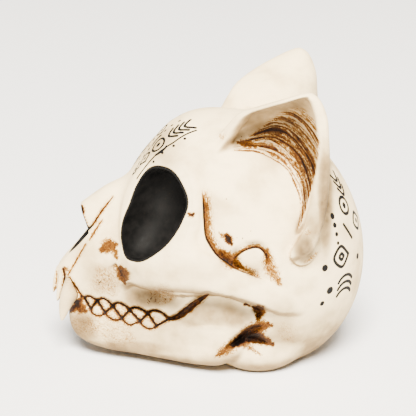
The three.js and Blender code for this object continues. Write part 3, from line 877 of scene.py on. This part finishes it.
def surface(name, values, low, step):
    """The mesh object where a field on a grid is zero."""
    grid = openvdb.FloatGrid(float(values.max()))
    grid.copyFromArray(np.ascontiguousarray(values, np.float32))
    points, quads = largest_part(*grid.convertToQuads(isovalue=0))
    points = (np.array(low) + points * step) * MM
    mesh = bpy.data.meshes.new(name)
    mesh.vertices.add(len(points))
    mesh.vertices.foreach_set("co", points.astype(np.float32).ravel())
    mesh.loops.add(quads.size)
    mesh.loops.foreach_set("vertex_index", quads.astype(np.int32).ravel())
    mesh.polygons.add(len(quads))
    mesh.polygons.foreach_set("loop_start", np.arange(0, quads.size, 4, dtype=np.int32))
    mesh.update(calc_edges=True)
    mesh.shade_smooth()
    made = bpy.data.objects.new(name, mesh)
    bpy.context.scene.collection.objects.link(made)
    return made


def places(mesh):
    """A mesh's points in millimetres and its normals, folded onto the left side."""
    co = np.empty(len(mesh.vertices) * 3, np.float32)
    mesh.vertices.foreach_get("co", co)
    p = co.reshape(-1, 3).astype(float) / MM
    mesh.vertex_normals.foreach_get("vector", co)
    normal = co.reshape(-1, 3).astype(float)
    normal[:, 0] *= np.sign(p[:, 0])
    p[:, 0] = np.abs(p[:, 0])
    return p, normal


def keep(mesh, name, values):
    mesh.attributes.new(name, "FLOAT", "POINT").data.foreach_set("value", values.astype(np.float32))


def both_sides(values):
    """A grid that starts on the midline, with its mirror image."""
    return np.concatenate([values[:0:-1], values])


def symmetric(name, field, low, high):
    """One piece across the midline, between a low corner on it and a high one on the left."""
    values = sampled(field, low, high, VOXEL)
    start = (-(len(values) - 1) * VOXEL, low[1], low[2])
    return surface(name, both_sides(values), start, VOXEL)


def pair(name, field, low, high, step=VOXEL):
    """A piece on the left side and its mirror image on the right."""
    values = sampled(field, low, high, step)
    left = surface(name + "_left", values, low, step)
    end = -(low[0] + (len(values) - 1) * step)
    right = surface(name + "_right", values[::-1], (end, low[1], low[2]), step)
    return [left, right]


# ---- materials ---------------------------------------------------------------------------------


class Shader:
    """A material with its nodes, made one after the other."""

    def __init__(self, name, **settings):
        self.material = bpy.data.materials.new(name)
        self.material.use_nodes = True
        self.tree = self.material.node_tree
        self.surface = self.tree.nodes["Principled BSDF"]
        for socket, value in settings.items():
            self.surface.inputs[socket.replace("_", " ")].default_value = value

    def node(self, kind, feeds=None, values=None, **options):
        made = self.tree.nodes.new(kind)
        for option, value in options.items():
            setattr(made, option, value)
        for socket, value in (values or {}).items():
            made.inputs[socket].default_value = value
        for socket, source in (feeds or {}).items():
            self.tree.links.new(source, made.inputs[socket])
        return made

    def noise(self, scale, detail=3.0, stretch=(1, 1, 1)):
        place = self.node("ShaderNodeTexCoord").outputs["Object"]
        scaled = self.node("ShaderNodeMapping", {"Vector": place}, {"Scale": stretch})
        made = self.node("ShaderNodeTexNoise", {"Vector": scaled.outputs[0]},
                         {"Scale": scale, "Detail": detail})
        return made.outputs["Fac"]

    def stored(self, name):
        return self.node("ShaderNodeAttribute", attribute_name=name).outputs["Fac"]

    def plus(self, a, b):
        return self.maths("ADD", a, b)

    def minus(self, a, b):
        return self.maths("SUBTRACT", a, b)

    def times(self, a, b):
        return self.maths("MULTIPLY", a, b)

    def maths(self, operation, a, b):
        made = self.node("ShaderNodeMath", operation=operation)
        for socket, value in zip(made.inputs, (a, b)):
            if isinstance(value, (int, float)):
                socket.default_value = value
            else:
                self.tree.links.new(value, socket)
        return made.outputs[0]

    def between(self, value, low, high):
        """Smoothly from 0 at the low value to 1 at the high one."""
        made = self.node("ShaderNodeMapRange", {"Value": value}, {"From Min": low, "From Max": high},
                         interpolation_type="SMOOTHSTEP")
        return made.outputs[0]

    def ramp(self, value, stops):
        """The colour that belongs to a value from 0 to 1."""
        made = self.node("ShaderNodeValToRGB", {"Fac": value})
        stop = made.color_ramp.elements
        while len(stop) < len(stops):
            stop.new(0.5)
        for element, (position, colour) in zip(stop, stops):
            element.position = position
            element.color = (*colour, 1)
        return made.outputs["Color"]

    def mix(self, factor, a, b, **options):
        made = self.node("ShaderNodeMix", data_type="RGBA", **options)
        for index, value in ((0, factor), (6, a), (7, b)):
            if isinstance(value, float):
                made.inputs[index].default_value = value
            elif isinstance(value, tuple):
                made.inputs[index].default_value = (*value, 1)
            else:
                self.tree.links.new(value, made.inputs[index])
        return made.outputs[2]

    def tint(self, colour, by):
        return self.mix(1.0, colour, by, blend_type="MULTIPLY")

    def bump(self, height, distance, strength=1.0):
        made = self.node("ShaderNodeBump", {"Height": height},
                         {"Distance": distance, "Strength": strength})
        self.tree.links.new(made.outputs[0], self.surface.inputs["Normal"])

    def finish(self, colour, roughness):
        self.tree.links.new(colour, self.surface.inputs["Base Color"])
        self.tree.links.new(roughness, self.surface.inputs["Roughness"])
        return self.material


CREAM = (0.58, 0.43, 0.22)
IVORY = (0.93, 0.75, 0.44)
INK = (0.004, 0.0037, 0.0037)
BLACK = (0.0010, 0.0010, 0.0009)
SOOT = (0.0034, 0.0030, 0.0028)

# What the glaze with its painted shade, and the wash, take from the resin's colour, by how thick they
# lie.
SHADE_STOPS = [(0.0, (1, 1, 1)), (0.5, (0.40, 0.35, 0.285)), (1.0, (0.12, 0.092, 0.066))]
WASH_STOPS = [
    (0.0, (1, 1, 1)),
    (0.15, (0.50, 0.34, 0.12)),
    (0.35, (0.16, 0.072, 0.010)),
    (0.6, (0.055, 0.018, 0.0022)),
    (0.85, (0.018, 0.0065, 0.0015)),
    (1.0, (0.007, 0.0035, 0.002)),
]

# Sizes of the noises, in waves a metre.
MOTTLE = 60
CLOUD = 160
BRUSH = 260
PATCH = 300
SPECK = 620
PORE = 1400
GRAIN = 1500
PAINT_PORE = 1600

PORE_DEPTH = 0.0002              # metres
BRUSH_STRENGTH = 0.22
GRAIN_STRENGTH = 4.5
SPECK_LEVEL = (0.63, 0.68)       # the part of the noise that shows as a speck
SPECK_RARER = 0.16               # how much of it is lost at the edge of a speckled patch
SPECK_DARK = 0.9


def shaded_resin(shader, mottle):
    """Cream resin with faint brush marks, under the antique glaze and its painted shade."""
    brushed = shader.between(shader.noise(BRUSH, 5, (1, 0.3, 1)), 0.45, 0.75)
    base = shader.mix(mottle, IVORY, CREAM)
    base = shader.mix(shader.times(brushed, BRUSH_STRENGTH), base, CREAM)
    cloud = shader.between(shader.noise(CLOUD, 4), 0.3, 0.7)
    # The glaze with its painted shade, made a little uneven by a cloud noise.
    shade = shader.times(shader.stored("glaze_and_painted_shade"), shader.plus(0.7, shader.times(cloud, 0.3)))
    return shader.tint(base, shader.ramp(shade, SHADE_STOPS))


def wash_grain(shader, amount):
    """Unevenness of the wash, in hairs along its strokes; thick wash is more even."""
    strand = shader.node("ShaderNodeCombineXYZ", {
        0: shader.times(shader.stored("lengthwise"), 0.2),
        1: shader.stored("crosswise"),
    })
    hairs = shader.node("ShaderNodeTexNoise", {"Vector": strand.outputs[0]},
                        {"Scale": 2.0, "Detail": 4.0})
    grain = shader.plus(shader.times(shader.noise(GRAIN, 3), 0.35),
                        shader.times(hairs.outputs["Fac"], 0.65))
    swing = shader.times(shader.minus(grain, 0.5), GRAIN_STRENGTH)
    return shader.times(swing, shader.minus(1.1, amount))


def specks(shader):
    """Small dots, rarer toward the edge of a speckled patch."""
    speckle = shader.stored("speckle")
    rarer = shader.times(shader.minus(1.0, speckle), SPECK_RARER)
    dots = shader.between(shader.minus(shader.noise(SPECK, 1), rarer), *SPECK_LEVEL)
    return shader.times(dots, shader.between(speckle, 0.0, 0.3))


def wash_thickness(shader):
    """The wash as a thin veil, thick strokes and specks."""
    amount = shader.stored("wash")
    swing = wash_grain(shader, amount)
    cover = shader.between(shader.plus(amount, shader.times(swing, 0.6)), 0.15, 0.5)
    veil = shader.plus(swing, shader.plus(0.3, shader.times(cover, 0.35)))
    veil = shader.times(amount, veil)
    strokes = shader.between(shader.plus(amount, swing), 0.6, 1.0)
    strokes = shader.times(strokes, shader.between(amount, 0.05, 0.35))
    thick = shader.maths("MAXIMUM", veil, strokes)
    return shader.maths("MAXIMUM", thick, shader.times(specks(shader), SPECK_DARK))


def bone_material():
    shader = Shader("cast_resin_bone", Specular_IOR_Level=0.1)
    mottle = shader.between(shader.noise(MOTTLE, 6), 0.4, 0.8)
    wash_colour = shader.ramp(wash_thickness(shader), WASH_STOPS)
    washed = shader.tint(shaded_resin(shader, mottle), wash_colour)
    inked = shader.mix(shader.between(shader.stored("ink"), 0.08, -0.08), washed, INK)
    shader.bump(shader.noise(PORE, 3), PORE_DEPTH, 0.35)
    return shader.finish(inked, shader.plus(0.6, shader.times(mottle, 0.1)))


def black_material():
    shader = Shader("matte_black_paint", Specular_IOR_Level=0.12)
    patch = shader.between(shader.noise(PATCH, 4), 0.3, 0.7)
    shader.bump(shader.noise(PAINT_PORE, 3), PORE_DEPTH, 0.3)
    colour = shader.mix(patch, BLACK, SOOT)
    return shader.finish(colour, shader.plus(0.62, shader.times(patch, 0.15)))


# ---- stage -------------------------------------------------------------------------------------

FLOOR_REACH = 6.0                # metres
FLOOR_COLOUR = (0.92, 0.92, 0.92, 1)
LIGHT_COLOUR = (1.0, 0.94, 0.84)
LIGHT_AIM = Vector((0, 0, 0.07))
SKY_STRENGTH = 0.4


def add_floor():
    mesh = bpy.data.meshes.new("floor")
    r = FLOOR_REACH
    mesh.from_pydata([(-r, -r, 0), (r, -r, 0), (r, r, 0), (-r, r, 0)], [], [(0, 1, 2, 3)])
    floor = bpy.data.objects.new("floor", mesh)
    bpy.context.scene.collection.objects.link(floor)
    material = bpy.data.materials.new("pale_floor")
    material.use_nodes = True
    shader = material.node_tree.nodes["Principled BSDF"]
    shader.inputs["Base Color"].default_value = FLOOR_COLOUR
    shader.inputs["Roughness"].default_value = 0.9
    mesh.materials.append(material)


def add_light(name, azimuth, elevation, distance, size, power):
    """A square light; the azimuth runs from the face to the animal's left."""
    data = bpy.data.lights.new(name, "AREA")
    data.size = size
    data.energy = power
    data.color = LIGHT_COLOUR
    light = bpy.data.objects.new(name, data)
    bpy.context.scene.collection.objects.link(light)
    a, e = math.radians(azimuth), math.radians(elevation)
    way = Vector((math.sin(a) * math.cos(e), -math.cos(a) * math.cos(e), math.sin(e)))
    light.location = LIGHT_AIM + way * distance
    light.rotation_euler = way.to_track_quat("Z", "Y").to_euler()


def add_sky():
    world = bpy.data.worlds.new("studio")
    world.use_nodes = True
    sky = world.node_tree.nodes["Background"].inputs
    sky["Color"].default_value = (1, 1, 1, 1)
    sky["Strength"].default_value = SKY_STRENGTH
    bpy.context.scene.world = world


# ---- the figurine ------------------------------------------------------------------------------


def add_skin(material):
    skin = symmetric("bone_skin", bone, (0, -78, -2), (58, 78, 144))
    p, normal = places(skin.data)
    thickness, strands = wash(p, normal)
    keep(skin.data, "wash", thickness)
    keep(skin.data, "lengthwise", strands[:, 0])
    keep(skin.data, "crosswise", strands[:, 1])
    keep(skin.data, "speckle", patches(p, SPECKLES))
    # Glaze with painted shade in hollows, on undersides and in patches.
    keep(skin.data, "glaze_and_painted_shade", glaze_and_painted_shade(p, normal))
    keep(skin.data, "ink", ink(p, normal))
    skin.data.materials.append(material)
    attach(skin, "root")
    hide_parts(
        "cranium", "upper_jaw", "lower_jaw",
        "cheekbone_left", "cheekbone_right", "jaw_knob_left", "jaw_knob_right",
        "ear_left", "ear_right",
    )


def add_paint(piece, material, lining):
    piece.data.materials.append(material)
    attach(piece, "root")
    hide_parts(lining)


def add_canine(piece, material, fang):
    """A canine tooth, with wash where it comes out of the jaw, and glaze with painted shade all over,
    heavier toward the root.
    """
    p, _ = places(piece.data)
    out = bone(p)
    keep(piece.data, "wash", 0.95 * (1 - ramp(out, 0, 0.7)) + 0.12 * (1 - ramp(out, 0, 4)))
    keep(piece.data, "lengthwise", p[:, 1])
    keep(piece.data, "crosswise", p[:, 2])
    keep(piece.data, "ink", np.full(len(p), INK_FAR))
    # Painted shade, heavier toward the root where the tooth meets the jaw.
    keep(piece.data, "glaze_and_painted_shade", 0.2 + 0.4 * (1 - ramp(out, 0, 5)))
    piece.data.materials.append(material)
    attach(piece, "root")
    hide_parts(fang)


SIDES = ("left", "right")

add_camera()

resin = bone_material()
add_skin(resin)

black = black_material()
for piece, side in zip(pair("socket_paint", socket_paint, (2, -52, 48), (54, 6, 112)), SIDES):
    add_paint(piece, black, "socket_lining_" + side)
add_paint(symmetric("nose_paint", nose_paint, (0, -80, 50), (12, -44, 82)), black, "nose_lining")

for piece, side in zip(pair("canine", canine, (4, -76, 18), (20, -54, 48), CANINE_VOXEL), SIDES):
    add_canine(piece, resin, "fang_" + side)

add_floor()
add_sky()
add_light("key", azimuth=90, elevation=50, distance=4.0, size=1.6, power=1150)
